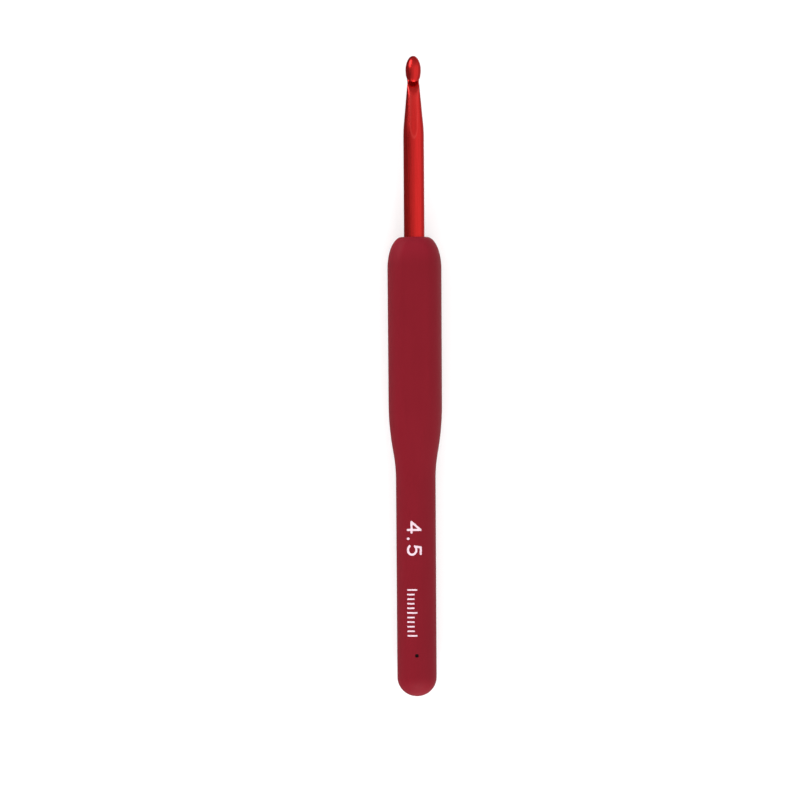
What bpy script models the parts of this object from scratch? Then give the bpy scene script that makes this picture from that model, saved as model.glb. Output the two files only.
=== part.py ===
"""Crochet hook with a soft moulded grip: a metal hook, the hard core that holds it, and the grip round both.

The hook lies on its back. +Y runs along its axis to the tip, +Z is the front, where the mouth opens, and the
flat back of the grip rests on z = 0. The origin is under the middle of the length.
"""

import math

import bmesh
import bpy
from mathutils import Matrix, Vector

MM = 0.001

# Whole object
TOTAL_LENGTH = 140.0 * MM
BARE_LENGTH = 39.6 * MM  # from the tip to the grip's mouth
SHAFT_RADIUS = 2.25 * MM  # a 4.5 mm hook
MOUTH_TURN = math.radians(3.0)  # the throat faces this far to the right of the front
FIT_GAP = 0.3 * MM  # between pieces that touch

# Head: half sizes, and lengths from its widest place
HEAD_HALF_WIDTH = 1.68 * MM
HEAD_FRONT = 1.9 * MM
HEAD_BACK = 2.0 * MM
NOSE_LENGTH = 3.2 * MM
LIP_LENGTH = 2.95 * MM
LIP_FULLNESS = 3.2  # exponent of the side view from the widest place to the lip

# Neck and throat: distances are from the tip
NECK_HALF_WIDTH = 1.265 * MM
NECK_HALF_BACK = 2.0 * MM  # its front is round
NECK_FULLNESS = 2.5  # exponent of the back of the neck's section, which is 2 on the round shaft
NECK_AT = 5.7 * MM
NECK_ROOT = 3.6 * MM  # where the neck starts inside the head
TAPER_END = 16.4 * MM
RAMP_END = 17.9 * MM
RAMP_SLOPE = 0.10
ROOT_SLOPE = 0.6  # of the steep start of the ramp, under the lip
ROOT_HEIGHT = 0.06 * MM  # of that slope over the axis, where the throat is deepest
THROAT_AT = 5.95 * MM
THROAT_RADIUS = 0.45 * MM
LIP_LEAN = math.radians(29.0)  # the lip's inner face, from square to the axis

# Tang: distances are from the grip's mouth
TANG_LENGTH = 43.7 * MM
TANG_CHAMFER = 0.5 * MM
GROOVES_AT = (14.0 * MM, 20.0 * MM, 26.0 * MM)
GROOVE_WIDTH = 1.6 * MM
GROOVE_DEPTH = 0.4 * MM
KEY_LENGTH = 8.0 * MM
KEY_HALF_THICKNESS = 1.7 * MM

# Grip: half sizes, and distances from its mouth
GRIP_LENGTH = TOTAL_LENGTH - BARE_LENGTH
MOUTH_HALF = 2.75 * MM
SHOULDER_LENGTH = 7.0 * MM
WIDE_HALF = 5.87 * MM
WIDE_HALF_END = 5.81 * MM
THICK_HALF = 5.0 * MM
FLAT_HALF = 2.6 * MM  # thumb rests, front and back
FLAT_END = 34.0 * MM
TAPER_FROM = 36.5 * MM
TAPER_MIDDLE = 47.0 * MM
TAPER_TO = 53.0 * MM
TAIL_RADIUS = 4.305 * MM
TAIL_END_RADIUS = 4.26 * MM
PIN_AT = 91.4 * MM
PIN_RADIUS = 0.4 * MM
PIN_DIMPLE = 0.5 * MM

# Core: it follows the grip, one wall further in
WALL_SIDE = 1.6 * MM
WALL_FRONT = 1.5 * MM
CORE_FROM = 4.0 * MM
CORE_EDGE = 0.6 * MM
RIBS_AT = (60.0 * MM, 68.0 * MM, 76.0 * MM, 84.0 * MM)
RIB_WIDTH = 2.6 * MM
RIB_DEPTH = 0.45 * MM

# Mesh fineness
ROUND = 40
ARC_STEPS = 8
TAPER_STEPS = 10
POLE_SIZE = 1e-9  # of a ring that is about to be merged into a pole

TIP_Y = TOTAL_LENGTH / 2
MOUTH_Y = TIP_Y - BARE_LENGTH
DOME_FROM = GRIP_LENGTH - TAIL_END_RADIUS
OVERCUT = 1.0 * MM
THROAT_MARGIN = 2.0 * MM  # how far the throat's cutter reaches past the ramp and above the shaft


def clear_scene():
    for old in list(bpy.data.objects):
        bpy.data.objects.remove(old, do_unlink=True)


def collection(name):
    made = bpy.data.collections.new(name)
    bpy.context.scene.collection.children.link(made)
    return made


def material(name, colour, roughness, metallic=0.0):
    made = bpy.data.materials.new(name)
    made.use_nodes = True
    shader = made.node_tree.nodes["Principled BSDF"]
    shader.inputs["Base Color"].default_value = (*colour, 1.0)
    shader.inputs["Roughness"].default_value = roughness
    shader.inputs["Metallic"].default_value = metallic
    return made


def add_object(name, mesh, group):
    made = bpy.data.objects.new(name, mesh)
    group.objects.link(made)
    return made


def add_cutter(name, mesh):
    made = add_object(name, mesh, CUTTERS)
    made.hide_render = True
    made.display_type = "WIRE"
    return made


def boolean(target, operation, tool):
    step = target.modifiers.new(tool.name, "BOOLEAN")
    step.operation = operation
    step.solver = "EXACT"
    step.object = tool


def steps(start, end, count):
    return [start + (end - start) * i / count for i in range(count + 1)]


def finish_mesh(name, bm):
    bmesh.ops.recalc_face_normals(bm, faces=bm.faces)
    mesh = bpy.data.meshes.new(name)
    bm.to_mesh(mesh)
    bm.free()
    return mesh


def loft(name, rings, pole_first=False, pole_last=False):
    """A closed skin over rings of (x, y, z) points. An end is a flat cap, or a pole at its ring's middle."""
    bm = bmesh.new()
    rows = [[bm.verts.new(point) for point in ring] for ring in rings]
    for low, high in zip(rows, rows[1:]):
        for i in range(len(low)):
            j = (i + 1) % len(low)
            bm.faces.new((low[i], low[j], high[j], high[i]))
    for row, is_pole in ((rows[0], pole_first), (rows[-1], pole_last)):
        if is_pole:
            middle = sum((v.co for v in row), Vector()) / len(row)
            bmesh.ops.pointmerge(bm, verts=row, merge_co=middle)
        else:
            bm.faces.new(row)
    return finish_mesh(name, bm)


def cylinder(name, radius, start, end, segments=ROUND):
    """A round bar between two points."""
    run = Vector(end) - Vector(start)
    turn = run.to_track_quat("Z", "Y").to_matrix().to_4x4()
    bm = bmesh.new()
    bmesh.ops.create_cone(
        bm,
        cap_ends=True,
        segments=segments,
        radius1=radius,
        radius2=radius,
        depth=run.length,
        matrix=Matrix.Translation((Vector(start) + Vector(end)) / 2) @ turn,
    )
    return finish_mesh(name, bm)


def box(name, low, high):
    low, high = Vector(low), Vector(high)
    bm = bmesh.new()
    bmesh.ops.create_cube(bm, size=1.0)
    bmesh.ops.scale(bm, vec=high - low, verts=bm.verts)
    bmesh.ops.translate(bm, vec=(low + high) / 2, verts=bm.verts)
    return finish_mesh(name, bm)


def prism(name, outline, half_width):
    """An outline of (y, z) points, as thick as half_width each way along X."""
    bm = bmesh.new()
    face = bm.faces.new([bm.verts.new((-half_width, y, z)) for y, z in outline])
    grown = bmesh.ops.extrude_face_region(bm, geom=[face])
    moved = [part for part in grown["geom"] if isinstance(part, bmesh.types.BMVert)]
    bmesh.ops.translate(bm, vec=(2 * half_width, 0, 0), verts=moved)
    return finish_mesh(name, bm)


# The hook is drawn about its own axis, with the mouth straight up.


def hook_ring(from_tip, half_width, front, back, back_fullness=2.0):
    ring = []
    for i in range(ROUND):
        angle = 2 * math.pi * i / ROUND
        across, up = math.cos(angle), math.sin(angle)
        power = 1 if up > 0 else 2 / back_fullness
        x = half_width * math.copysign(abs(across) ** power, across)
        height = front if up > 0 else back
        ring.append((x, TIP_Y - from_tip, height * math.copysign(abs(up) ** power, up)))
    return ring


def head_ring(from_tip):
    if from_tip < NOSE_LENGTH:
        along = 1 - from_tip / NOSE_LENGTH
        round_off = math.sqrt(max(0.0, 1 - along**2))
        fuller = round_off
    else:
        along = (from_tip - NOSE_LENGTH) / LIP_LENGTH
        round_off = math.sqrt(max(0.0, 1 - along**2))
        fuller = max(0.0, 1 - along**LIP_FULLNESS) ** (1 / LIP_FULLNESS)
    return hook_ring(from_tip, HEAD_HALF_WIDTH * round_off, HEAD_FRONT * fuller, HEAD_BACK * fuller)


def head_mesh():
    quarter = steps(0, math.pi / 2, ARC_STEPS)
    nose = [NOSE_LENGTH * (1 - math.cos(angle)) for angle in quarter]
    lip = [NOSE_LENGTH + LIP_LENGTH * math.sin(angle) for angle in quarter[1:]]
    return loft("head", [head_ring(at) for at in nose + lip], pole_first=True, pole_last=True)


def neck_ring(from_tip):
    share = (from_tip - NECK_AT) / (TAPER_END - NECK_AT)
    share = min(1.0, max(0.0, share))
    half_width = NECK_HALF_WIDTH + share * (SHAFT_RADIUS - NECK_HALF_WIDTH)
    half_back = NECK_HALF_BACK + share * (SHAFT_RADIUS - NECK_HALF_BACK)
    fullness = NECK_FULLNESS + share * (2.0 - NECK_FULLNESS)
    return hook_ring(from_tip, half_width, half_width, half_back, fullness)


def bar_ring(from_mouth, radius):
    return hook_ring(BARE_LENGTH + from_mouth, radius, radius, radius)


def bar_mesh():
    """Neck, shaft and tang, from inside the head to the tang's end."""
    rings = [neck_ring(NECK_ROOT)]
    rings += [neck_ring(at) for at in steps(NECK_AT, TAPER_END, TAPER_STEPS)]
    for groove in GROOVES_AT:
        half = GROOVE_WIDTH / 2
        floor = SHAFT_RADIUS - GROOVE_DEPTH
        rings.append(bar_ring(groove - half, SHAFT_RADIUS))
        rings.append(bar_ring(groove - half, floor))
        rings.append(bar_ring(groove + half, floor))
        rings.append(bar_ring(groove + half, SHAFT_RADIUS))
    rings.append(bar_ring(TANG_LENGTH - TANG_CHAMFER, SHAFT_RADIUS))
    rings.append(bar_ring(TANG_LENGTH, SHAFT_RADIUS - TANG_CHAMFER))
    return loft("hook_shaft", rings)


def ramp_height(from_tip):
    return SHAFT_RADIUS - RAMP_SLOPE * (RAMP_END - from_tip)


def throat_mesh():
    """The throat: the ramp, its steep root, a round floor, and the lip's leaning inner face."""
    far = RAMP_END + THROAT_MARGIN
    root_angle = math.atan(ROOT_SLOPE)
    top = SHAFT_RADIUS + THROAT_MARGIN
    middle_z = ROOT_HEIGHT + THROAT_RADIUS / math.cos(root_angle)
    # The two slopes meet where they are equally high.
    crease = THROAT_AT + (ramp_height(THROAT_AT) - ROOT_HEIGHT) / (ROOT_SLOPE - RAMP_SLOPE)
    outline = [(TIP_Y - far, ramp_height(far)), (TIP_Y - crease, ramp_height(crease))]
    # Angles are from straight down, turning towards the tip.
    for angle in steps(-root_angle, math.pi / 2 + LIP_LEAN, ARC_STEPS):
        y = TIP_Y - THROAT_AT + THROAT_RADIUS * math.sin(angle)
        outline.append((y, middle_z - THROAT_RADIUS * math.cos(angle)))
    rise = top - outline[-1][1]
    outline.append((outline[-1][0] - rise * math.tan(LIP_LEAN), top))
    outline.append((TIP_Y - far, top))
    return prism("throat", outline, 2 * SHAFT_RADIUS)


def key_flats(name, half_thickness, start, end):
    """Two boxes that leave a flat tongue this thick between them."""
    reach = 2 * SHAFT_RADIUS
    flats = []
    for side, label in ((1, "front"), (-1, "back")):
        low, high = sorted((side * half_thickness, side * reach))
        flats.append(box(f"{name}_{label}", (-reach, MOUTH_Y - end, low), (reach, MOUTH_Y - start, high)))
    return flats


def on_hook_axis(target):
    """Puts a thing drawn about the hook's own axis in its place."""
    target.rotation_euler = (0, MOUTH_TURN, 0)
    target.location = (0, 0, THICK_HALF)
    return target


def make_hook():
    hook = on_hook_axis(add_object("hook_shaft", bar_mesh(), PARTS))
    head = on_hook_axis(add_cutter("head_blank", head_mesh()))
    throat = on_hook_axis(add_cutter("throat_cutter", throat_mesh()))
    boolean(hook, "UNION", head)
    boolean(hook, "DIFFERENCE", throat)
    start = TANG_LENGTH - KEY_LENGTH
    for mesh in key_flats("tang_flat", KEY_HALF_THICKNESS, start, TANG_LENGTH + OVERCUT):
        boolean(hook, "DIFFERENCE", on_hook_axis(add_cutter(mesh.name, mesh)))
    return hook


# The grip and the core share one outline, measured from the grip's mouth.


def shoulder_share(at):
    """0 at the mouth, rising as a quarter ellipse to 1 where the shoulder ends."""
    return math.sqrt(max(0.0, 1 - max(0.0, 1 - at / SHOULDER_LENGTH) ** 2))


def taper_share(at):
    """0 on the wide part, 1 on the tail, along two parabolas that meet at the taper's middle."""
    length = TAPER_TO - TAPER_FROM
    if at <= TAPER_FROM:
        return 0.0
    if at >= TAPER_TO:
        return 1.0
    if at < TAPER_MIDDLE:
        return (at - TAPER_FROM) ** 2 / (length * (TAPER_MIDDLE - TAPER_FROM))
    return 1 - (TAPER_TO - at) ** 2 / (length * (TAPER_TO - TAPER_MIDDLE))


def between(low, high, start, end, at):
    share = min(1.0, max(0.0, (at - start) / (end - start)))
    return low + share * (high - low)


def grip_halves(at):
    """Half width, half thickness and half flat of the grip, before its tail is rounded off."""
    wide = between(WIDE_HALF, WIDE_HALF_END, SHOULDER_LENGTH, TAPER_FROM, at)
    tail = between(TAIL_RADIUS, TAIL_END_RADIUS, TAPER_TO, DOME_FROM, at)
    tapered = taper_share(at)
    width = wide + tapered * (tail - wide)
    thickness = THICK_HALF + tapered * (tail - THICK_HALF)
    flat = FLAT_HALF * (1 - between(0.0, 1.0, FLAT_END, TAPER_TO, at))
    rounded = shoulder_share(at)
    width = MOUTH_HALF + rounded * (width - MOUTH_HALF)
    thickness = MOUTH_HALF + rounded * (thickness - MOUTH_HALF)
    return width, thickness, flat * rounded


def oval_ring(at, width, thickness, flat):
    """A section with flat front and back, closed by two half ellipses, read off at even angles."""
    end = width - flat
    ring = []
    for i in range(ROUND):
        angle = 2 * math.pi * i / ROUND
        across, up = abs(math.cos(angle)), abs(math.sin(angle))
        if across * thickness <= up * flat:
            reach = thickness / up
        else:
            a = (across / end) ** 2 + (up / thickness) ** 2
            b = across * flat / end**2
            c = (flat / end) ** 2 - 1
            reach = (b + math.sqrt(b * b - a * c)) / a
        x, z = reach * math.cos(angle), reach * math.sin(angle)
        ring.append((x, MOUTH_Y - at, THICK_HALF + z))
    return ring


def dome_stops():
    return [DOME_FROM + TAIL_END_RADIUS * math.sin(a) for a in steps(0, math.pi / 2, ARC_STEPS)]


def grip_mesh():
    shoulder = [SHOULDER_LENGTH * (1 - math.cos(a)) for a in steps(0, math.pi / 2, ARC_STEPS)]
    taper = [FLAT_END] + steps(TAPER_FROM, TAPER_TO, TAPER_STEPS)
    rings = [oval_ring(at, *grip_halves(at)) for at in shoulder + taper]
    for at in dome_stops():
        radius = math.sqrt(max(0.0, TAIL_END_RADIUS**2 - (at - DOME_FROM) ** 2))
        size = max(radius, POLE_SIZE)
        rings.append(oval_ring(at, size, size, 0.0))
    return loft("grip_sleeve", rings, pole_last=True)


def core_mesh(name, grow):
    """The core's outside, or with grow the hollow that it fills."""

    def ring(at, inset=0.0):
        width, thickness, flat = grip_halves(at)
        return oval_ring(at, width - WALL_SIDE - inset + grow, thickness - WALL_FRONT - inset + grow, flat)

    edge = CORE_EDGE
    rings = [ring(CORE_FROM - grow, edge), ring(CORE_FROM + edge - grow)]
    rings += [ring(at) for at in [FLAT_END] + steps(TAPER_FROM, TAPER_TO, TAPER_STEPS)]
    for rib in RIBS_AT:
        half = RIB_WIDTH / 2 - grow
        rings += [ring(rib - half), ring(rib - half, RIB_DEPTH)]
        rings += [ring(rib + half, RIB_DEPTH), ring(rib + half)]
    radius = TAIL_END_RADIUS - WALL_FRONT + grow
    for angle in steps(0, math.pi / 2, ARC_STEPS):
        size = max(radius * math.cos(angle), POLE_SIZE)
        rings.append(oval_ring(DOME_FROM + radius * math.sin(angle), size, size, 0.0))
    return loft(name, rings, pole_last=True)


def axis_bar(name, radius, start, end):
    """A cutter along the axis, between two distances from the grip's mouth."""
    mesh = cylinder(name, radius, (0, MOUTH_Y - end, THICK_HALF), (0, MOUTH_Y - start, THICK_HALF))
    return add_cutter(name, mesh)


def make_core():
    """The core. Its bore is round for the tang and ends in a flat-sided socket for the tang's key."""
    core = add_object("handle_core", core_mesh("handle_core", 0.0), PARTS)
    bore_radius = SHAFT_RADIUS + FIT_GAP
    bore_end = TANG_LENGTH + FIT_GAP
    socket_from = TANG_LENGTH - KEY_LENGTH + FIT_GAP
    socket = on_hook_axis(add_cutter("bore_cutter", socket_bar_mesh(bore_radius, bore_end)))
    flats = key_flats("socket_flat", KEY_HALF_THICKNESS + FIT_GAP, socket_from, bore_end + OVERCUT)
    for mesh in flats:
        boolean(socket, "DIFFERENCE", on_hook_axis(add_cutter(mesh.name, mesh)))
    boolean(core, "DIFFERENCE", socket)
    y = MOUTH_Y - PIN_AT
    reach = TAIL_END_RADIUS - WALL_SIDE - PIN_DIMPLE
    for side, label in ((1, "front"), (-1, "back")):
        inner = (0, y, THICK_HALF + side * reach)
        outer = (0, y, THICK_HALF + side * 2 * TAIL_END_RADIUS)
        dimple = cylinder(f"pin_dimple_{label}", PIN_RADIUS, inner, outer, ROUND // 2)
        boolean(core, "DIFFERENCE", add_cutter(dimple.name, dimple))
    return core


def socket_bar_mesh(radius, end):
    rings = [bar_ring(CORE_FROM - OVERCUT, radius), bar_ring(end, radius)]
    return loft("bore_cutter", rings)


def make_grip():
    """The grip: moulded round the core, closed on the shaft at its mouth, with a mould pin's hole each side."""
    grip = add_object("grip_sleeve", grip_mesh(), PARTS)
    hollow = add_cutter("core_hollow", core_mesh("core_hollow", FIT_GAP))
    mouth = axis_bar("mouth_cutter", SHAFT_RADIUS + FIT_GAP, -OVERCUT, CORE_FROM + OVERCUT)
    y = MOUTH_Y - PIN_AT
    pin_mesh = cylinder("pin_cutter", PIN_RADIUS, (0, y, -OVERCUT), (0, y, 2 * THICK_HALF), ROUND // 2)
    boolean(grip, "DIFFERENCE", hollow)
    boolean(grip, "DIFFERENCE", mouth)
    boolean(grip, "DIFFERENCE", add_cutter("pin_cutter", pin_mesh))
    return grip


clear_scene()
PARTS = collection("crochet_hook")
CUTTERS = collection("cutters")

hook_shaft = make_hook()
handle_core = make_core()
grip_sleeve = make_grip()

hook_shaft.data.materials.append(material("red_anodised_aluminium", (0.45, 0.02, 0.02), 0.35, 1.0))
handle_core.data.materials.append(material("core_plastic", (0.09, 0.01, 0.015), 0.5))
grip_sleeve.data.materials.append(material("soft_grip_rubber", (0.26, 0.016, 0.028), 0.75))

for part in (hook_shaft, handle_core, grip_sleeve):
    part.data.shade_smooth()
    part.data.set_sharp_from_angle(angle=math.radians(35.0))
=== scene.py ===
"""The crochet hook's looks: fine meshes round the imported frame, their materials, and a plain pale studio.

The frame's axes are used throughout: +Y to the tip, +Z the front. Shapes are in millimetres, measured from
the tip or from the grip's mouth, and each mesh is scaled to metres as it is made.
"""

import math

import bmesh
import bpy
import numpy as np
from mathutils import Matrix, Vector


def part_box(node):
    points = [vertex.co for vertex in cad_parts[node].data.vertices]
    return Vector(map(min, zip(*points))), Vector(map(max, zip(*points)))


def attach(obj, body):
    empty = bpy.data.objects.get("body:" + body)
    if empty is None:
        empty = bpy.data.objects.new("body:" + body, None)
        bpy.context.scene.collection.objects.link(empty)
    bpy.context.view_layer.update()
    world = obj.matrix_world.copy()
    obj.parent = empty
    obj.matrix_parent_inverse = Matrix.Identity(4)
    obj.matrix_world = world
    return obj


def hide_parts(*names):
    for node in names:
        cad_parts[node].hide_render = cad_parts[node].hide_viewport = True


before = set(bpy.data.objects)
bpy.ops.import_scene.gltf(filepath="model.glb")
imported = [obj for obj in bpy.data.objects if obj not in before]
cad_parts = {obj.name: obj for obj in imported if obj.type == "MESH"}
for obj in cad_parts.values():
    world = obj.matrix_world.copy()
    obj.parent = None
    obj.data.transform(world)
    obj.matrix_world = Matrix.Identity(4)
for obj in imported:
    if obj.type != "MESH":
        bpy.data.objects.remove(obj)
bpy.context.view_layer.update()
MM = 0.001


def node_box(node):
    low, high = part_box(node)
    return np.array(low) / MM, np.array(high) / MM


# Places and sizes that the frame sets
HOOK_LOW, HOOK_HIGH = node_box("hook_shaft")
GRIP_LOW, GRIP_HIGH = node_box("grip_sleeve")
TIP_Y = HOOK_HIGH[1]
MOUTH_Y = GRIP_HIGH[1]
AXIS_Z = (GRIP_LOW[2] + GRIP_HIGH[2]) / 2
BARE_LENGTH = TIP_Y - MOUTH_Y
GRIP_LENGTH = MOUTH_Y - GRIP_LOW[1]
WIDE_HALF = (GRIP_HIGH[0] - GRIP_LOW[0]) / 2
THICK_HALF = (GRIP_HIGH[2] - GRIP_LOW[2]) / 2
SHAFT_RADIUS = (HOOK_HIGH[2] - HOOK_LOW[2]) / 2
TANG_END = TIP_Y - HOOK_LOW[1]

# Hook: distances are from the tip
MOUTH_TURN = math.radians(3.0)
HEAD_HALF_WIDTH = 1.68
HEAD_FRONT = 1.9
HEAD_BACK = 2.0
NOSE_LENGTH = 3.2
LIP_LENGTH = 2.95
LIP_FULLNESS = 3.2
LIP_CLOSES_AT = 0.96
NECK_HALF_WIDTH = 1.265
NECK_HALF_BACK = 2.0
NECK_FULLNESS = 2.5
NECK_AT = 5.7
NECK_ROOT = 2.6
NECK_FADE_FROM = 4.8
NECK_FADE = 0.12
THINNEST = 0.3
TAPER_END = 16.4
TAPER_EASE = 0.14
RAMP_END = 17.9
RAMP_SLOPE = 0.10
ROOT_SLOPE = 0.6
ROOT_HEIGHT = 0.06
ROOT_CREASE = 0.6
THROAT_AT = 5.95
THROAT_RADIUS = 0.45
LIP_LEAN = math.radians(29.0)
HEAD_BLEND = 0.5
LIP_EDGE = 0.42  # how round the throat's edges are, at the lip and then further and further back
ROOT_EDGE = 0.14
NECK_EDGE = 0.3
RAMP_EDGE = 0.06
LIP_TO_ROOT = (5.4, 6.3)  # where each of those eases into the next
ROOT_TO_NECK = (6.8, 8.4)
NECK_TO_RAMP = (9.0, RAMP_END)
# Width of the paler band along the throat's edges, partly rubbed bare metal and partly painted highlight,
# narrowing to a thin painted bright line at the ramp's end
WEAR_AND_HIGHLIGHT_WIDTH = 0.17
WEAR_AND_HIGHLIGHT_WIDTH_AT_END = 0.03
GROOVES_AT = (14.0, 20.0, 26.0)  # from the grip's mouth
GROOVE_WIDTH = 1.6
GROOVE_DEPTH = 0.4
GROOVE_EDGE = 0.2
KEY_LENGTH = 8.0
KEY_HALF_THICKNESS = 1.7
TANG_EDGE = 0.4

# Grid of the hook's mesh: finer where there is more shape
HOOK_REACH = 2.55
ACROSS_STEP = 0.1
TANG_STEP = 0.1
PLAIN_STEP = 0.6
GROOVE_STEP = 0.15
SHAFT_STEP = 0.8
NECK_STEP = 0.12
HEAD_STEP = 0.07
HEAD_GRID_FROM = 8.2
GROOVE_MARGIN = 1.4
TINY = 1e-12  # keeps a root's slope finite at 0

# Grip: distances are from its mouth
MOUTH_HALF = 2.75
BORE_RADIUS = SHAFT_RADIUS + 0.02
BORE_EDGE = 0.18
SHOULDER_LENGTH = 7.0
WIDE_HALF_END = WIDE_HALF - 0.06
FLAT_HALF = 2.6
FLAT_END = 34.0
TAPER_FROM = 36.5
TAPER_MIDDLE = 47.0
TAPER_TO = 53.0
TAIL_RADIUS = 4.305
TAIL_END_RADIUS = 4.26
DOME_FROM = GRIP_LENGTH - TAIL_END_RADIUS
WALL_SIDE = 1.6
WALL_FRONT = 1.5
HOLLOW_GAP = 0.1
BORE_STOP = 2.0
CORE_FROM = 4.0
RIBS_AT = (60.0, 68.0, 76.0, 84.0)
RIB_WIDTH = 2.6
RIB_DEPTH = 0.45
PIN_AT = 91.4
PIN_RADIUS = 0.4
PIN_EDGE = 0.08
PIN_CELLS = 8
PIN_ROUNDING = (0.3, 0.6, 0.85)  # shares of the way from the square gap to the round hole
ANGLE_STEP = 2.5  # degrees
SEAM_ANGLES = (0.4, 0.8, 1.3, 1.9, 3.4)
SEAM_HEIGHT = 0.035
SEAM_HALF_WIDTH = 0.14
SEAM_FADE_AT_MOUTH = (0.3, 2.5)
SEAM_FADE_ON_DOME = (0.5, 2.5)  # radii
SKIN_STEPS = 28  # of the shoulder's arc and of the dome's
HOLLOW_STEPS = 28
HOLLOW_DOME_STEPS = 10
BORE_STEPS = 5
PIN_STEPS = 4

# Size mark: it reads down the handle, with the tops of its figures to the right
MARK_FOOT = -2.05
FIGURES_AT = 62.0
FIGURES_LENGTH = 7.8
FIGURE_HEIGHT = 3.25
FIGURE_STROKE = 0.47
DOT_AFTER = 3.65
DOT_SIZE = 1.25  # strokes
FIVE_AFTER = 1.5
BOWL_ACROSS, BOWL_UP = (0.34, 0.37), (0.33, 0.33)  # middle and half size of the 5's bowl, in figure heights
BOWL_ANGLES = (2.45, -2.5, 22)
TICKS_AT = 77.05
TICK_PITCH = 1.0
TICK_COUNT = 11
TICK_HEIGHT = 1.6
LONG_TICK_HEIGHT = 2.2
LONG_TICK_EVERY = 5
TICK_STROKE = 0.34
TICK_CORNER = 0.08
INK_HEIGHT = 0.02
INK_ROOT = 0.05
INK_EDGE = 0.012
INK_WAVER = 0.012
INK_STEP = 0.045
INK_LAYER_STEP = 0.026
INK_LAYER_MARGIN = 0.03
PRINT_MARGIN = 0.3

# Camera and studio, in metres
CAMERA_LENS = 300.0
SENSOR_WIDTH = 36.0
VIEW_WIDTH = 0.1749
CAMERA_AT = (-0.00334, -0.00522)
CAMERA_TURN = math.radians(-0.37)
CAMERA_CLIP = (0.01, 20)
FLOOR_REACH = 4.0
FLOOR_LEVEL = -0.00003
BACKDROP_RADIUS = 4.5
GLOW = 1.1  # of the floor and the backdrop, a little past white
LAMP_AIM = (0, 0, 0.005)
LAMPS = (  # name, place, size and watts
    ("softbox_left_back", (-0.7, -0.8, 0.45), (0.6, 0.6), 1.4),
    ("softbox_tail_end", (0.1, -1.0, 0.6), (0.5, 0.8), 6.5),
)

# Materials
NOISE_LOW, NOISE_HIGH = 0.3, 0.7  # most of a noise's values lie between these


# --------------------------------------------------------------------------------------------------
# Meshes from signed distances


def polygonise(distance, axes, refine=4, least_steepness=0.05):
    """The surface where distance(x, y, z) is 0, as surface nets: a vertex in each grid cell that it crosses
    and a quad across each crossed grid edge. The vertices are then moved onto the surface along its slope."""
    field = distance(*np.meshgrid(*axes, indexing="ij"))
    unit = np.eye(3, dtype=int)
    cells = np.array(field.shape) - 1
    count = np.zeros(cells)
    total = np.zeros((*cells, 3))
    crossings = []
    for axis in range(3):
        near = field[tuple(slice(0, n - s) for n, s in zip(field.shape, unit[axis]))]
        far = field[tuple(slice(s, n) for n, s in zip(field.shape, unit[axis]))]
        low = np.argwhere((near < 0) != (far < 0))
        high = low + unit[axis]
        start, end = field[tuple(low.T)], field[tuple(high.T)]
        low_at = np.stack([axes[k][low[:, k]] for k in range(3)], axis=1)
        high_at = np.stack([axes[k][high[:, k]] for k in range(3)], axis=1)
        crossing = low_at + (start / (start - end))[:, None] * (high_at - low_at)
        second, third = unit[(axis + 1) % 3], unit[(axis + 2) % 3]
        around = [low, low - second, low - second - third, low - third]
        for cell in around:
            np.add.at(total, tuple(cell.T), crossing)
            np.add.at(count, tuple(cell.T), 1)
        crossings.append((around, start < 0))
    used = np.argwhere(count > 0)
    number = np.full(cells, -1)
    number[tuple(used.T)] = np.arange(len(used))
    points = total[tuple(used.T)] / count[tuple(used.T)][:, None]
    quads = []
    for around, outward in crossings:
        corners = np.stack([number[tuple(cell.T)] for cell in around], axis=1)
        quads.append(np.where(outward[:, None], corners, corners[:, ::-1]))
    for _ in range(refine):
        value, slope = value_and_slope(distance, points)
        steepness = np.maximum((slope**2).sum(axis=1), least_steepness)
        points = points - (value / steepness)[:, None] * slope
    return points, np.concatenate(quads)


def value_and_slope(distance, points, step=0.004):
    slopes = []
    for shift in np.eye(3) * step:
        slopes.append((distance(*(points + shift).T) - distance(*(points - shift).T)) / (2 * step))
    return distance(*points.T), np.stack(slopes, axis=1)


def stops(start, *runs):
    """Grid stops from start through (end, step) runs."""
    made = [start]
    for end, step in runs:
        count = max(1, round((end - made[-1]) / step))
        made.extend(np.linspace(made[-1], end, count + 1)[1:])
    return np.array(made)


def smoothstep(start, end, at):
    share = np.clip((at - start) / (end - start), 0, 1)
    return share * share * (3 - 2 * share)


def first_order(shape, x, y, z, step=0.01, least_steepness=0.02):
    """The distance to where shape is 0, from its value and slope."""
    value = shape(x, y, z)
    slopes = (shape(x + step, y, z) - value, shape(x, y + step, z) - value, shape(x, y, z + step) - value)
    steepness = np.sqrt(sum(slope**2 for slope in slopes)) / step
    return value / np.maximum(steepness, least_steepness)


def blended(first, second, radius):
    """Both bodies, with a fillet where they meet."""
    near = np.maximum(radius - np.abs(first - second), 0) / radius
    return np.minimum(first, second) - near * near * radius / 4


def common(first, second, radius):
    """What two bodies share, with a round edge."""
    inner = np.minimum(-radius, np.maximum(first, second))
    return inner + np.hypot(np.maximum(radius + first, 0), np.maximum(radius + second, 0))


# --------------------------------------------------------------------------------------------------
# The hook, drawn about its own axis with its tip at y = 0 and its mouth straight up


def head_shape(x, y, z):
    """An ellipsoid's nose, and behind it a fuller curve down to the lip."""
    nose = np.minimum((-y - NOSE_LENGTH) / NOSE_LENGTH, 0)
    past = np.maximum((-y - NOSE_LENGTH) / LIP_LENGTH, 0)
    lip = np.minimum(past, LIP_CLOSES_AT)
    height = np.where(z > 0, HEAD_FRONT, HEAD_BACK)
    squash = (1 - lip**2) / (1 - lip**LIP_FULLNESS) ** (2 / LIP_FULLNESS)
    square = (x / HEAD_HALF_WIDTH) ** 2 + (z / height) ** 2 * squash + nose**2 + past**2
    return np.sqrt(square + TINY) - 1


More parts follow.
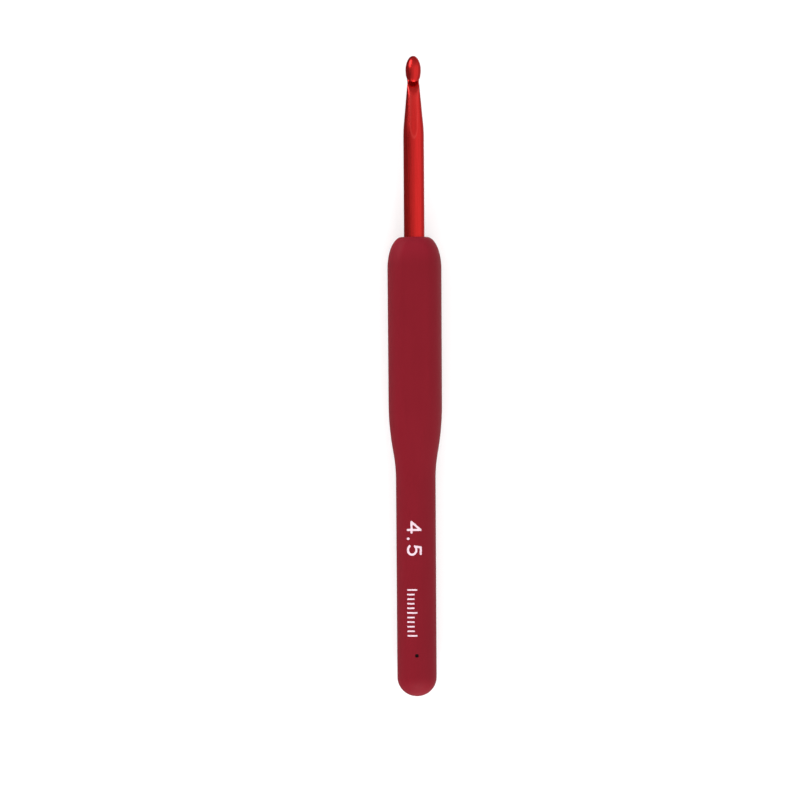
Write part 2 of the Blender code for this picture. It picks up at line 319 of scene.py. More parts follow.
def bar_radius(from_tip):
    radius = np.full_like(from_tip, SHAFT_RADIUS)
    for groove in GROOVES_AT:
        off = np.abs(from_tip - BARE_LENGTH - groove)
        half = GROOVE_WIDTH / 2
        radius -= GROOVE_DEPTH * (1 - smoothstep(half - GROOVE_EDGE, half + GROOVE_EDGE, off))
    return radius


def bar_shape(x, y, z):
    """The neck, round in front and fuller behind, easing to the round shaft. It fades inside the head."""
    share = np.maximum(blended((-y - NECK_AT) / (TAPER_END - NECK_AT), 1.0, TAPER_EASE), 0)
    radius = bar_radius(-y)
    fade = NECK_FADE * np.maximum(NECK_FADE_FROM + y, 0) ** 2
    half_width = np.maximum(NECK_HALF_WIDTH + share * (radius - NECK_HALF_WIDTH) - fade, THINNEST)
    half_back = np.maximum(NECK_HALF_BACK + share * (radius - NECK_HALF_BACK) - fade, THINNEST)
    half_depth = np.where(z > 0, half_width, half_back)
    fullness = np.where(z > 0, 2, NECK_FULLNESS + share * (2 - NECK_FULLNESS))
    size = (np.abs(x) / half_width) ** fullness + (np.abs(z) / half_depth) ** fullness
    return (size + TINY) ** (1 / fullness) - 1


def bar_distance(x, y, z):
    ends = np.maximum(NECK_ROOT + y, -y - TANG_END)
    whole = common(first_order(bar_shape, x, y, z), ends, TANG_EDGE)
    key_flats = np.minimum(np.abs(z) - KEY_HALF_THICKNESS, -y - TANG_END + KEY_LENGTH)
    return np.maximum(whole, key_flats)


def blank_distance(x, y, z):
    return blended(first_order(head_shape, x, y, z), bar_distance(x, y, z), HEAD_BLEND)


def throat_distance(y, z):
    """What is milled away: above the ramp and its steeper root, and behind the lip's inner face."""
    slant = math.atan(RAMP_SLOPE)
    root_slant = math.atan(ROOT_SLOPE)
    ramp = SHAFT_RADIUS - RAMP_SLOPE * (RAMP_END + y)
    root = ROOT_HEIGHT - ROOT_SLOPE * (THROAT_AT + y)
    floor = blended((ramp - z) * math.cos(slant), (root - z) * math.cos(root_slant), ROOT_CREASE)
    middle_z = ROOT_HEIGHT + THROAT_RADIUS / math.cos(root_slant)
    off_lip = (y + THROAT_AT) * math.cos(LIP_LEAN) + (z - middle_z) * math.sin(LIP_LEAN) - THROAT_RADIUS
    return common(floor, off_lip, THROAT_RADIUS)


def hook_distance(x, y, z):
    """The turned blank with the throat milled out of it, its edges rounded."""
    edge = LIP_EDGE + (ROOT_EDGE - LIP_EDGE) * smoothstep(*LIP_TO_ROOT, -y)
    edge += (NECK_EDGE - ROOT_EDGE) * smoothstep(*ROOT_TO_NECK, -y)
    edge += (RAMP_EDGE - NECK_EDGE) * smoothstep(*NECK_TO_RAMP, -y)
    return common(blank_distance(x, y, z), -throat_distance(y, z), edge)


def edge_closeness(points):
    """1 on the edges that the throat leaves, fading to 0 a little way off them."""
    x, y, z = points.T
    off = np.maximum(np.abs(blank_distance(x, y, z)), np.abs(throat_distance(y, z)))
    width = WEAR_AND_HIGHLIGHT_WIDTH + (WEAR_AND_HIGHLIGHT_WIDTH_AT_END - WEAR_AND_HIGHLIGHT_WIDTH) * smoothstep(THROAT_AT, RAMP_END, -y)
    return np.exp(-((off / width) ** 2))


def turned_to_mouth(vectors):
    x, y, z = vectors.T
    cos, sin = math.cos(MOUTH_TURN), math.sin(MOUTH_TURN)
    return np.stack([x * cos + z * sin, y, z * cos - x * sin], axis=1)


def make_hook():
    across = stops(-HOOK_REACH, (HOOK_REACH, ACROSS_STEP))
    key_from = -TANG_END + KEY_LENGTH
    along = stops(
        -TANG_END - 0.3,
        (-TANG_END + 0.8, TANG_STEP),
        (key_from - 0.2, PLAIN_STEP),
        (key_from + 0.2, TANG_STEP),
        (-BARE_LENGTH - GROOVES_AT[-1] - GROOVE_MARGIN, PLAIN_STEP),
        (-BARE_LENGTH - GROOVES_AT[0] + GROOVE_MARGIN, GROOVE_STEP),
        (-RAMP_END - 0.7, SHAFT_STEP),
        (-HEAD_GRID_FROM, NECK_STEP),
        (0.2, HEAD_STEP),
    )
    points, quads = polygonise(hook_distance, (across, along, across))
    _, slope = value_and_slope(hook_distance, points)
    normals = turned_to_mouth(slope / np.linalg.norm(slope, axis=1)[:, None])
    hook = add_piece("hook_body", turned_to_mouth(points) + [0, TIP_Y, AXIS_Z], quads.tolist())
    hook.data.normals_split_custom_set_from_vertices(normals.tolist())
    # Marks the throat's edges for a paler colour: rubbed bare metal, and a painted highlight along them
    wear_and_highlight = hook.data.attributes.new("edge_wear_and_highlight", "FLOAT", "POINT")
    wear_and_highlight.data.foreach_set("value", edge_closeness(points).astype(np.float32))
    return hook


# --------------------------------------------------------------------------------------------------
# The grip: rings of points, lofted from inside its tail, out through its mouth and back to its tail


def shoulder_share(at):
    return math.sqrt(max(0.0, 1 - max(0.0, 1 - at / SHOULDER_LENGTH) ** 2))


def taper_share(at):
    """0 on the wide part, 1 on the tail, along two parabolas that meet at the taper's middle."""
    length = TAPER_TO - TAPER_FROM
    if at <= TAPER_FROM:
        return 0.0
    if at >= TAPER_TO:
        return 1.0
    if at < TAPER_MIDDLE:
        return (at - TAPER_FROM) ** 2 / (length * (TAPER_MIDDLE - TAPER_FROM))
    return 1 - (TAPER_TO - at) ** 2 / (length * (TAPER_TO - TAPER_MIDDLE))


def between(low, high, start, end, at):
    share = min(1.0, max(0.0, (at - start) / (end - start)))
    return low + share * (high - low)


def grip_halves(at):
    """Half width, half thickness and half flat of the grip, before its tail is rounded off."""
    wide = between(WIDE_HALF, WIDE_HALF_END, SHOULDER_LENGTH, TAPER_FROM, at)
    tail = between(TAIL_RADIUS, TAIL_END_RADIUS, TAPER_TO, DOME_FROM, at)
    tapered = taper_share(at)
    width = wide + tapered * (tail - wide)
    thickness = THICK_HALF + tapered * (tail - THICK_HALF)
    flat = FLAT_HALF * (1 - between(0.0, 1.0, FLAT_END, TAPER_TO, at))
    rounded = shoulder_share(at)
    width = MOUTH_HALF + rounded * (width - MOUTH_HALF)
    thickness = MOUTH_HALF + rounded * (thickness - MOUTH_HALF)
    return width, thickness, flat * rounded


def ring_angles():
    """Even round the section, with more at the mould's seam on each side."""
    even = np.radians(np.arange(0, 360, ANGLE_STEP))
    close = np.radians(SEAM_ANGLES)
    extra = [side + sign * close for side in (0, math.pi) for sign in (-1, 1)]
    return np.sort(np.concatenate([even, *extra]) % (2 * math.pi))


ANGLES = ring_angles()


def oval(width, thickness, flat):
    """How far a section reaches at each angle: flat front and back, closed by two half ellipses."""
    across, up = np.abs(np.cos(ANGLES)), np.abs(np.sin(ANGLES))
    end = width - flat
    a = (across / end) ** 2 + (up / thickness) ** 2
    b = across * flat / end**2
    c = (flat / end) ** 2 - 1
    curved = (b + np.sqrt(np.maximum(b * b - a * c, 0))) / a
    on_flat = across * thickness <= up * flat
    return np.where(on_flat, thickness / np.maximum(up, 1e-9), curved)


def ring(at, reach):
    x = reach * np.cos(ANGLES)
    z = AXIS_Z + reach * np.sin(ANGLES)
    return np.stack([x, np.full_like(x, MOUTH_Y - at), z], axis=1)


def skin_ring(at):
    """One section of the outside, with the mould's seam standing a little proud of it."""
    if at < DOME_FROM:
        reach = oval(*grip_halves(at))
    else:
        reach = np.full_like(ANGLES, math.sqrt(TAIL_END_RADIUS**2 - (at - DOME_FROM) ** 2))
    seam = SEAM_HEIGHT * np.exp(-((reach * np.sin(ANGLES) / SEAM_HALF_WIDTH) ** 2))
    fade = smoothstep(*SEAM_FADE_AT_MOUTH, at) * smoothstep(*SEAM_FADE_ON_DOME, reach.min())
    return ring(at, reach + seam * fade)


def hollow_ring(at, inset=0.0):
    width, thickness, flat = grip_halves(at)
    shrink = inset - HOLLOW_GAP
    return ring(at, oval(width - WALL_SIDE - shrink, thickness - WALL_FRONT - shrink, flat))


def round_ring(at, radius):
    return ring(at, np.full_like(ANGLES, radius))


def arc(count, start=0.0, end=math.pi / 2):
    return np.linspace(start, end, count + 1)


def pin_stops():
    """Sections through the pin's hole, as far apart as the columns are there."""
    cell = TAIL_END_RADIUS * math.radians(ANGLE_STEP)
    return PIN_AT + cell * (np.arange(PIN_CELLS + 1) - PIN_CELLS / 2)


def hollow_rings():
    """From inside the tail to the hollow's front wall, and which of them is the pin hole's first."""
    radius = TAIL_END_RADIUS - WALL_FRONT + HOLLOW_GAP
    dome = arc(HOLLOW_DOME_STEPS)[1:]
    rings = [round_ring(DOME_FROM + radius * math.cos(a), radius * math.sin(a)) for a in dome]
    pin_row = len(rings)
    rings += [hollow_ring(at) for at in pin_stops()[::-1]]
    for rib in RIBS_AT[::-1]:
        half = RIB_WIDTH / 2 - HOLLOW_GAP
        rings += [hollow_ring(rib + half), hollow_ring(rib + half, RIB_DEPTH)]
        rings += [hollow_ring(rib - half, RIB_DEPTH), hollow_ring(rib - half)]
    front = CORE_FROM - HOLLOW_GAP
    rings += [hollow_ring(at) for at in np.linspace(TAPER_TO, front, HOLLOW_STEPS)]
    return rings, pin_row


def mouth_rings():
    """The bore, and its rounded edge at the mouth."""
    rings = [round_ring(CORE_FROM - HOLLOW_GAP, BORE_RADIUS), round_ring(BORE_STOP, BORE_RADIUS)]
    for angle in arc(BORE_STEPS):
        radius = BORE_RADIUS + BORE_EDGE * (1 - math.cos(angle))
        rings.append(round_ring(BORE_EDGE * (1 - math.sin(angle)), radius))
    return rings


def skin_rings():
    """The outside from the mouth to the tail, and which ring is the pin hole's first."""
    pin = pin_stops()
    rings = [skin_ring(SHOULDER_LENGTH * (1 - math.cos(a))) for a in arc(SKIN_STEPS)]
    rings += [skin_ring(at) for at in stops(SHOULDER_LENGTH, (FLAT_END, 2.0), (TAPER_TO + 1, 0.5))[1:]]
    rings += [skin_ring(at) for at in stops(TAPER_TO + 1, (pin[0] - 0.5, 2.4))[1:]]
    pin_row = len(rings)
    rings += [skin_ring(at) for at in [*pin, *stops(pin[-1], (DOME_FROM, 0.8))[1:]]]
    rings += [skin_ring(DOME_FROM + TAIL_END_RADIUS * math.sin(a)) for a in arc(SKIN_STEPS)[1:-1]]
    return rings, pin_row


def bridge(faces, first, second):
    for i, start in enumerate(first):
        j = (i + 1) % len(first)
        faces.append((start, first[j], second[j], second[i]))


def pin_rim(points, faces, row, column, circles):
    """Fills a square gap in the loft down to the pin's hole, and gives the last circle's vertices.

    row and column are the gap's first. circles are (radius, depth) pairs, with depths under the surface."""
    last_row, last_column = row + PIN_CELLS, column + PIN_CELLS
    border = [(row, c) for c in range(column, last_column)]
    border += [(r, last_column) for r in range(row, last_row)]
    border += [(last_row, c) for c in range(last_column, column, -1)]
    border += [(r, column) for r in range(last_row, row, -1)]
    loop = [r * len(ANGLES) + c for r, c in border]
    square = np.array([points[number] for number in loop]) - [0, MOUTH_Y - PIN_AT, AXIS_Z]
    side = math.copysign(1, square[0, 2])
    reach = math.hypot(square[0, 0], square[0, 2])
    turn = math.copysign(1, np.cross(square[0, :2], square[1, :2]))
    corner = math.atan2(math.copysign(1, square[0, 1]), math.copysign(1, square[0, 0]))
    bearing = corner + turn * np.arange(len(loop)) * 2 * math.pi / len(loop)
    circle = np.stack([np.cos(bearing), np.sin(bearing)], axis=1)
    outlines = [(square[:, :2] * (1 - k) + circle * circles[0][0] * k, 0.0) for k in PIN_ROUNDING]
    outlines += [(circle * radius, depth) for radius, depth in circles]
    for outline, depth in outlines:
        height = side * (np.sqrt(reach**2 - outline[:, 0] ** 2) - depth)
        inner = list(range(len(points), len(points) + len(loop)))
        points.extend(np.column_stack([outline, height]) + [0, MOUTH_Y - PIN_AT, AXIS_Z])
        bridge(faces, loop, inner)
        loop = inner
    return loop


def make_grip():
    inside, hollow_pin = hollow_rings()
    outside, skin_pin = skin_rings()
    before_skin = inside + mouth_rings()
    rings = before_skin + outside
    skin_pin += len(before_skin)
    points = list(np.concatenate(rings))
    columns = len(ANGLES)
    pin_columns = [int(np.argmin(np.abs(ANGLES - a))) - PIN_CELLS // 2 for a in (math.pi / 2, 1.5 * math.pi)]
    gaps = {
        (row, column)
        for first_row in (hollow_pin, skin_pin)
        for first_column in pin_columns
        for row in range(first_row, first_row + PIN_CELLS)
        for column in range(first_column, first_column + PIN_CELLS)
    }
    faces = []
    for row in range(len(rings) - 1):
        for column in range(columns):
            if (row, column) not in gaps:
                beside = (column + 1) % columns
                low, high = row * columns, (row + 1) * columns
                faces.append((low + column, low + beside, high + beside, high + column))
    rim = [(PIN_RADIUS + PIN_EDGE * (1 - math.sin(a)), PIN_EDGE * (1 - math.cos(a))) for a in arc(PIN_STEPS)]
    for column in pin_columns:
        outer = pin_rim(points, faces, skin_pin, column, rim)
        inner = pin_rim(points, faces, hollow_pin, column, [(PIN_RADIUS, 0.0)])
        # The inner circle starts a quarter turn away and runs the other way round.
        matched = [inner[(3 * PIN_CELLS - i) % len(inner)] for i in range(len(inner))]
        bridge(faces, outer, matched)
    close_end(points, faces, range(columns), DOME_FROM + TAIL_END_RADIUS - WALL_FRONT + HOLLOW_GAP, True)
    last_ring = range((len(rings) - 1) * columns, len(rings) * columns)
    close_end(points, faces, last_ring, GRIP_LENGTH, False)
    return add_piece("grip_skin", np.array(points), faces)


def close_end(points, faces, loop, at, reverse):
    """A fan from a ring to the pole at the end of its dome."""
    pole = len(points)
    points.append(np.array([0, MOUTH_Y - at, AXIS_Z]))
    loop = list(loop)
    for i, start in enumerate(loop):
        beside = loop[(i + 1) % len(loop)]
        faces.append((beside, start, pole) if reverse else (start, beside, pole))


# --------------------------------------------------------------------------------------------------
# The printed size mark: v runs down the handle, u across it, and h is the height above the grip


def stroke(v, u, path, width):
    """Distance to a pen stroke along a path of (v, u) points."""
    nearest = np.full_like(v, np.inf)
    for start, end in zip(path, path[1:]):
        run_v, run_u = end[0] - start[0], end[1] - start[1]
        share = ((v - start[0]) * run_v + (u - start[1]) * run_u) / (run_v**2 + run_u**2)
        share = np.clip(share, 0, 1)
        nearest = np.minimum(nearest, np.hypot(v - start[0] - share * run_v, u - start[1] - share * run_u))
    return nearest - width / 2


def figures_outline(v, u):
    """The numerals 4.5, drawn with one pen."""
    size = FIGURE_HEIGHT - FIGURE_STROKE
    pen = FIGURE_STROKE
    foot = pen / 2

    def placed(start, path):
        return [(start + across * size, foot + up * size) for across, up in path]

    bowl = [
        (BOWL_ACROSS[0] + BOWL_ACROSS[1] * math.cos(a), BOWL_UP[0] + BOWL_UP[1] * math.sin(a))
        for a in np.linspace(*BOWL_ANGLES)
    ]
    four_at = FIGURES_AT + foot
    dot_at = four_at + DOT_AFTER
    five_at = dot_at + FIVE_AFTER
    drawn = [
        stroke(v, u, placed(four_at, [(0.62, 0), (0.62, 1), (0, 0.29), (0.83, 0.29)]), pen),
        stroke(v, u, placed(dot_at, [(0, 0.02), (0.001, 0.02)]), pen * DOT_SIZE),
        stroke(v, u, placed(five_at, [(0.66, 1), (0.13, 1), (0.08, 0.56)]), pen),
        stroke(v, u, placed(five_at, bowl), pen),
    ]
    return np.min(drawn, axis=0)


def ticks_outline(v, u):
    number = np.clip(np.round((v - TICKS_AT) / TICK_PITCH), 0, TICK_COUNT - 1)
    half_height = np.where(number % LONG_TICK_EVERY == 0, LONG_TICK_HEIGHT, TICK_HEIGHT) / 2
    off_v = np.abs(v - TICKS_AT - number * TICK_PITCH) - TICK_STROKE / 2
    off_u = np.abs(u - half_height) - half_height
    return common(off_v, off_u, TICK_CORNER)


def on_grip(points):
    """Puts (v, u, h) points on the front of the tail."""
    v, u, h = points.T
    x = MARK_FOOT + u
    radius = np.interp(v, (TAPER_TO, DOME_FROM), (TAIL_RADIUS, TAIL_END_RADIUS))
    rise = np.sqrt(radius**2 - x**2)
    grow = 1 + h / radius
    return np.stack([x * grow, MOUTH_Y - v, AXIS_Z + rise * grow], axis=1)


def make_print(name, outline, length, height):
    """A print's ink from its outline. The edge wavers a little, as a pad leaves it."""

    def ink(v, u, h):
        waver = INK_WAVER * (np.sin(9.1 * v + 3.0 * u) + np.sin(11.3 * u - 4.7 * v + 1.0))
        layer = np.abs(h - (INK_HEIGHT - INK_ROOT) / 2) - (INK_HEIGHT + INK_ROOT) / 2
        return common(outline(v, u) + waver, layer, INK_EDGE)

    down = stops(length[0] - PRINT_MARGIN, (length[1] + PRINT_MARGIN, INK_STEP))
    across = stops(-PRINT_MARGIN, (height + PRINT_MARGIN, INK_STEP))
    up = stops(-INK_ROOT - INK_LAYER_MARGIN, (INK_HEIGHT + INK_LAYER_MARGIN, INK_LAYER_STEP))
    points, quads = polygonise(ink, (down, across, up))
    return add_piece(name, on_grip(points), quads.tolist())


# --------------------------------------------------------------------------------------------------
# Objects


def add_piece(name, points, faces):
    """A smooth-shaded mesh that rides on the object's one body."""
    mesh = bpy.data.meshes.new(name)
    mesh.from_pydata((np.asarray(points) * MM).tolist(), [], faces)
    mesh.shade_smooth()
    piece = bpy.data.objects.new(name, mesh)
    bpy.context.scene.collection.objects.link(piece)
    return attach(piece, "root")


# --------------------------------------------------------------------------------------------------
# Materials


class Shader:
    """A node tree with short calls to add nodes and join them."""

    def __init__(self, owner):
        owner.use_nodes = True
        self.tree = owner.node_tree

    def node(self, kind, inputs=None, **settings):
        made = self.tree.nodes.new(kind)
        for key, value in settings.items():
            setattr(made, key, value)
        self.feed(made, inputs or {})
        return made

    def feed(self, made, inputs):
        for key, value in inputs.items():
            if isinstance(value, bpy.types.NodeSocket):
                self.tree.links.new(value, made.inputs[key])
            else:
                made.inputs[key].default_value = value

    def maths(self, operation, *values):
        made = self.node("ShaderNodeMath", dict(enumerate(values)), operation=operation)
        return made.outputs[0]

    def scaled(self, value, low, high, to_low, to_high, smooth=False):
        """value, taken from low..high to to_low..to_high, and kept in it."""
        inputs = {"Value": value, "From Min": low, "From Max": high, "To Min": to_low, "To Max": to_high}
        kind = "SMOOTHSTEP" if smooth else "LINEAR"
        return self.node("ShaderNodeMapRange", inputs, interpolation_type=kind).outputs[0]

    def spread(self, noise, to_low, to_high):
        return self.scaled(noise, NOISE_LOW, NOISE_HIGH, to_low, to_high)

    def mixed(self, share, first, second):
        made = self.node("ShaderNodeMix", data_type="RGBA")
        self.feed(made, {0: share, 6: first, 7: second})
        return made.outputs[2]

    def place(self):
        return self.node("ShaderNodeTexCoord").outputs["Object"]

    def noise(self, per_mm, detail=2.0, roughness=0.5):
        """Noise with this many lumps to a millimetre along each axis."""
        scale = [lumps / MM for lumps in per_mm]
        placed = self.node("ShaderNodeMapping", {"Vector": self.place(), "Scale": scale}).outputs[0]
        inputs = {"Vector": placed, "Scale": 1.0, "Detail": detail, "Roughness": roughness}
        return self.node("ShaderNodeTexNoise", inputs).outputs["Fac"]

    def bump(self, height, depth_mm, below=None):
        inputs = {"Height": height, "Distance": depth_mm * MM, "Strength": 1.0}
        if below is not None:
            inputs["Normal"] = below
        return self.node("ShaderNodeBump", inputs).outputs[0]


def new_material(name):
    made = bpy.data.materials.new(name)
    shader = Shader(made)
    return made, shader, shader.tree.nodes["Principled BSDF"]


def anodised_metal():
    """Satin aluminium with a red anodised film: drawn streaks, fine grain, and paler edges along the throat
    that are partly rubbed bare metal and partly a painted highlight.
    """
    made, shader, surface = new_material("anodised_metal_red")
    streaks = shader.noise((5.0, 0.12, 5.0), 4.0, 0.6)
    cloud = shader.noise((0.45, 0.2, 0.45), 3.0)
    grain = shader.noise((14.0, 9.0, 14.0), 2.0, 0.7)
    # Paler colour along the throat's edges: partly rubbed bare metal, partly a painted highlight that becomes
    # a thin bright line at the ramp's end
    wear_and_highlight = shader.node("ShaderNodeAttribute", attribute_name="edge_wear_and_highlight").outputs["Fac"]
    patchy_wear_and_highlight = shader.maths("MULTIPLY", wear_and_highlight, shader.spread(cloud, 0.35, 1.0))
    streak_share = shader.spread(streaks, 0.0, 1.0)
    film = shader.mixed(streak_share, (0.45, 0.007, 0.006, 1), (0.52, 0.011, 0.010, 1))
    colour = shader.mixed(patchy_wear_and_highlight, film, (0.62, 0.05, 0.045, 1))
    rough = shader.maths("ADD", shader.spread(streaks, 0.23, 0.30), shader.spread(grain, 0.0, 0.04))
    normal = shader.bump(streaks, 0.003, shader.bump(grain, 0.0015))
    inputs = {
        "Base Color": colour,
        "Metallic": 1.0,
        "Roughness": rough,
        "Specular Tint": (0.75, 0.25, 0.25, 1),
        "Normal": normal,
        "Coat Weight": 0.3,
        "Coat Roughness": 0.28,
        "Coat IOR": 1.45,
    }
    shader.feed(surface, inputs)
    return made


def soft_grip():
    """Matt moulded rubber: a fine eroded grain, faint flow marks, slow drifts of tone, and painted light that
    makes it paler towards the mouth and, faintly, at the tail's end.
    """
    made, shader, surface = new_material("soft_grip_red")
    grain = shader.noise((9.0, 9.0, 9.0), 3.0, 0.6)
    flow = shader.noise((0.5, 0.06, 0.5), 3.0)
    cloud = shader.noise((0.22, 0.12, 0.22), 2.0)
    tone = shader.maths("ADD", shader.spread(flow, 0.0, 0.4), shader.spread(cloud, 0.0, 0.6))
    colour = shader.mixed(tone, (0.157, 0.0046, 0.0112, 1), (0.169, 0.0053, 0.0127, 1))
    along = shader.node("ShaderNodeSeparateXYZ", {"Vector": shader.place()}).outputs["Y"]
    # Painted light: the rubber is coloured paler over the last 7 mm before the mouth, where the shoulder
    # turns towards the tip, and faintly at the tail's end
    painted_light_at_mouth = shader.scaled(along, MOUTH_Y * MM - 0.007, MOUTH_Y * MM, 0.0, 1.0, smooth=True)
    painted_light_at_tail = shader.scaled(along, GRIP_LOW[1] * MM, GRIP_LOW[1] * MM + 0.007, 0.1, 0.0, smooth=True)
    ends = shader.maths("MULTIPLY", shader.maths("ADD", painted_light_at_mouth, painted_light_at_tail), shader.spread(cloud, 0.7, 1.0))
    colour = shader.mixed(ends, colour, (0.235, 0.0082, 0.0198, 1))
    speckle = shader.scaled(grain, 0.35, 0.65, 0.0, 1.0)
    colour = shader.mixed(shader.maths("MULTIPLY", speckle, 0.10), colour, (0.20, 0.009, 0.018, 1))
    normal = shader.bump(cloud, 0.02, shader.bump(grain, 0.012))
    inputs = {
        "Base Color": colour,
        "Roughness": shader.spread(grain, 0.50, 0.60),
        "Specular IOR Level": 0.08,
        "Normal": normal,
    }
    shader.feed(surface, inputs)
    return made


def size_ink():
    """Pad-printed ink: off-white, with the red faintly through it and pinholes where it missed the grain."""
    made, shader, surface = new_material("size_ink_white")
    grain = shader.noise((9.0, 9.0, 9.0), 3.0, 0.6)
    patches = shader.noise((1.1, 1.1, 1.1), 2.0)
    patch_share = shader.scaled(patches, 0.35, 0.65, 0.0, 1.0)
    colour = shader.mixed(patch_share, (0.64, 0.46, 0.53, 1), (0.71, 0.55, 0.62, 1))
    pinholes = shader.scaled(grain, 0.30, 0.36, 0.75, 0.0)
    colour = shader.mixed(pinholes, colour, (0.30, 0.05, 0.07, 1))
    inputs = {
        "Base Color": colour,
        "Roughness": shader.spread(grain, 0.5, 0.62),
        "Normal": shader.bump(grain, 0.008),
    }
    shader.feed(surface, inputs)
    return made


def core_plastic():
    """The hard core's dark moulded plastic, with a faint spark-eroded grain."""
    made, shader, surface = new_material("core_plastic_dark")
    flow = shader.noise((0.35, 0.05, 0.35), 3.0)
    grain = shader.noise((6.0, 6.0, 6.0), 2.0)
    inputs = {
        "Base Color": shader.mixed(flow, (0.075, 0.008, 0.012, 1), (0.10, 0.012, 0.017, 1)),
        "Roughness": shader.spread(grain, 0.42, 0.55),
        "Normal": shader.bump(grain, 0.006),
    }
    shader.feed(surface, inputs)
    return made


def floor_white():
    """White paper that glows a little under the hook and wholly further off, so shadows stay faint."""
    made, shader, surface = new_material("floor_white")
    away = shader.node("ShaderNodeVectorMath", {0: shader.place()}, operation="LENGTH").outputs["Value"]
    paper = shader.scaled(away, 0.1, 0.5, 0.55, 0.0, smooth=True)
    inputs = {
        "Base Color": shader.mixed(paper, (0, 0, 0, 1), (0.94, 0.94, 0.94, 1)),
        "Roughness": 0.9,
        "Specular IOR Level": 0.0,
        "Emission Color": (1, 1, 1, 1),
        "Emission Strength": shader.maths("MULTIPLY", shader.maths("SUBTRACT", 1.0, paper), GLOW),
    }
    shader.feed(surface, inputs)
    return made


# --------------------------------------------------------------------------------------------------
# Studio


def add_floor():
    mesh = bpy.data.meshes.new("studio_floor")
    square = ((-1, -1), (1, -1), (1, 1), (-1, 1))
    corners = [(x * FLOOR_REACH, y * FLOOR_REACH, FLOOR_LEVEL) for x, y in square]
    mesh.from_pydata(corners, [], [(0, 1, 2, 3)])
    mesh.materials.append(floor_white())
    floor = bpy.data.objects.new("studio_floor", mesh)
    bpy.context.scene.collection.objects.link(floor)
    floor.visible_glossy = False


def add_world():
    """The surroundings that the metal mirrors: dim on the left, brighter overhead and on the right, with a
    lit end beyond the tail and a bright window to the front left."""
    world = bpy.data.worlds.new("studio")
    bpy.context.scene.world = world
    shader = Shader(world)
    direction = shader.node("ShaderNodeTexCoord").outputs["Generated"]
    parts = shader.node("ShaderNodeSeparateXYZ", {"Vector": direction})
    side, ahead, height = parts.outputs["X"], parts.outputs["Y"], parts.outputs["Z"]
    dim_left = shader.scaled(side, -0.93, -0.32, 0.24, 0.83, smooth=True)
    behind = shader.scaled(ahead, -0.24, -0.02, 0.8, 0.0, smooth=True)
    behind = shader.maths("MULTIPLY", behind, shader.scaled(side, -0.96, -0.8, 0.0, 1.0, smooth=True))
    left = shader.maths("MAXIMUM", dim_left, behind)
    right = shader.scaled(side, -0.35, 0.6, 0.0, 1.0, smooth=True)
    right = shader.maths("MULTIPLY", right, shader.scaled(ahead, 0.25, 0.6, 0.48, -0.2))
    above = shader.maths("ADD", shader.maths("ADD", left, right), shader.scaled(ahead, 0.06, 0.2, 0.0, 0.09))
    below = shader.scaled(side, -0.6, 0.6, 0.32, 0.78, smooth=True)
    share = shader.scaled(height, -0.15, 0.1, 0.0, 1.0, smooth=True)
    lower_part = shader.maths("MULTIPLY", below, shader.maths("SUBTRACT", 1.0, share))
    whole = shader.maths("ADD", shader.maths("MULTIPLY", above, share), lower_part)
    tail_light = shader.scaled(ahead, -0.92, -0.62, 1.5, 0.0, smooth=True)
    tail_light = shader.maths("MULTIPLY", tail_light, shader.scaled(side, -0.6, -0.3, 0.1, 1.0, smooth=True))
    whole = shader.maths("ADD", whole, tail_light)
    strength = shader.maths("MULTIPLY", whole, shader.scaled(ahead, 0.45, 0.95, 1.0, 0.75, smooth=True))
    # A long window, front left, that fades at its ends
    rise = shader.maths("DIVIDE", height, shader.maths("MAXIMUM", shader.maths("MULTIPLY", side, -1.0), 0.05))
    over_sill = shader.scaled(rise, 0.05, 0.25, 0.0, 1.0, smooth=True)
    under_top = shader.scaled(rise, 0.6, 1.3, 1.0, 0.0, smooth=True)
    from_near = shader.scaled(ahead, 0.24, 0.46, 0.0, 1.0, smooth=True)
    to_far = shader.scaled(ahead, 0.68, 0.88, 1.0, 0.0, smooth=True)
    across = shader.maths("MULTIPLY", over_sill, under_top)
    along = shader.maths("MULTIPLY", from_near, to_far)
    glow = shader.scaled(side, -0.4, -0.2, 7.5, 0.0)
    window = shader.maths("MULTIPLY", shader.maths("MULTIPLY", across, along), glow)
    strength = shader.maths("ADD", strength, window)
    shader.feed(shader.tree.nodes["Background"], {"Color": (1, 1, 1, 1), "Strength": strength})


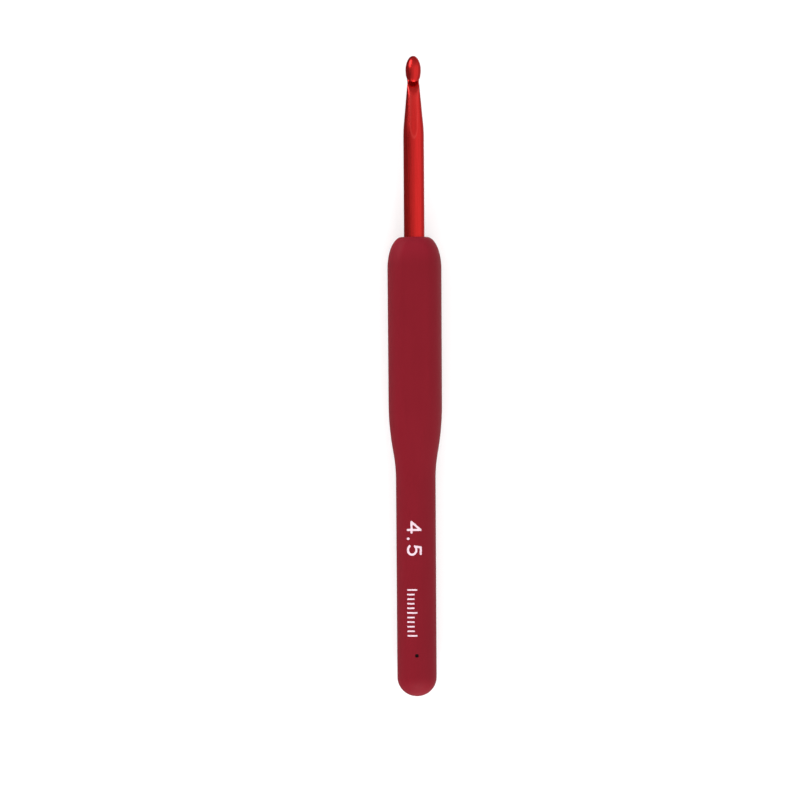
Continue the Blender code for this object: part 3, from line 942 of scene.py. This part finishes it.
def add_backdrop():
    """A pale surround for the camera alone: it lights nothing and nothing mirrors it."""
    bm = bmesh.new()
    bmesh.ops.create_uvsphere(bm, u_segments=48, v_segments=24, radius=BACKDROP_RADIUS)
    mesh = bpy.data.meshes.new("studio_backdrop")
    bm.to_mesh(mesh)
    bm.free()
    made = bpy.data.materials.new("backdrop_white")
    shader = Shader(made)
    glow = shader.node("ShaderNodeEmission", {"Color": (1, 1, 1, 1), "Strength": GLOW})
    shader.feed(shader.tree.nodes["Material Output"], {"Surface": glow.outputs[0]})
    mesh.materials.append(made)
    backdrop = bpy.data.objects.new("studio_backdrop", mesh)
    bpy.context.scene.collection.objects.link(backdrop)
    backdrop.visible_diffuse = False
    backdrop.visible_glossy = False
    backdrop.visible_shadow = False
    backdrop.visible_transmission = False


def add_area(name, at, size, watts):
    light = bpy.data.lights.new(name, "AREA")
    light.shape = "RECTANGLE"
    light.size, light.size_y = size
    light.energy = watts
    lamp = bpy.data.objects.new(name, light)
    bpy.context.scene.collection.objects.link(lamp)
    lamp.location = at
    lamp.visible_camera = False
    back = np.subtract(at, LAMP_AIM)
    from_top = math.acos(back[2] / np.linalg.norm(back))
    lamp.rotation_euler = (0, from_top, math.atan2(back[1], back[0]))


def add_camera():
    data = bpy.data.cameras.new("camera")
    data.lens = CAMERA_LENS
    data.sensor_width = SENSOR_WIDTH
    data.clip_start, data.clip_end = CAMERA_CLIP
    camera = bpy.data.objects.new("camera", data)
    bpy.context.scene.collection.objects.link(camera)
    distance = VIEW_WIDTH * CAMERA_LENS / SENSOR_WIDTH
    camera.location = (*CAMERA_AT, AXIS_Z * MM + distance)
    camera.rotation_euler = (0, 0, CAMERA_TURN)
    bpy.context.scene.camera = camera


# --------------------------------------------------------------------------------------------------
# The scene

hook = make_hook()
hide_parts("hook_shaft")
hook.data.materials.append(anodised_metal())

grip = make_grip()
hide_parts("grip_sleeve")
grip.data.materials.append(soft_grip())

TICKS_END = TICKS_AT + (TICK_COUNT - 1) * TICK_PITCH
PRINTS = (
    ("size_numerals", figures_outline, (FIGURES_AT, FIGURES_AT + FIGURES_LENGTH), FIGURE_HEIGHT),
    ("size_ticks", ticks_outline, (TICKS_AT, TICKS_END), LONG_TICK_HEIGHT),
)
ink_material = size_ink()
for print_name, outline, length, height in PRINTS:
    printed = make_print(print_name, outline, length, height)
    printed.data.materials.append(ink_material)

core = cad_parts["handle_core"]
core_finish = core_plastic()
for material_slot in core.material_slots:
    material_slot.material = core_finish

add_floor()
add_world()
add_backdrop()
for lamp in LAMPS:
    add_area(*lamp)
add_camera()
bpy.context.scene.view_settings.view_transform = "Standard"
bpy.context.scene.view_settings.look = "None"
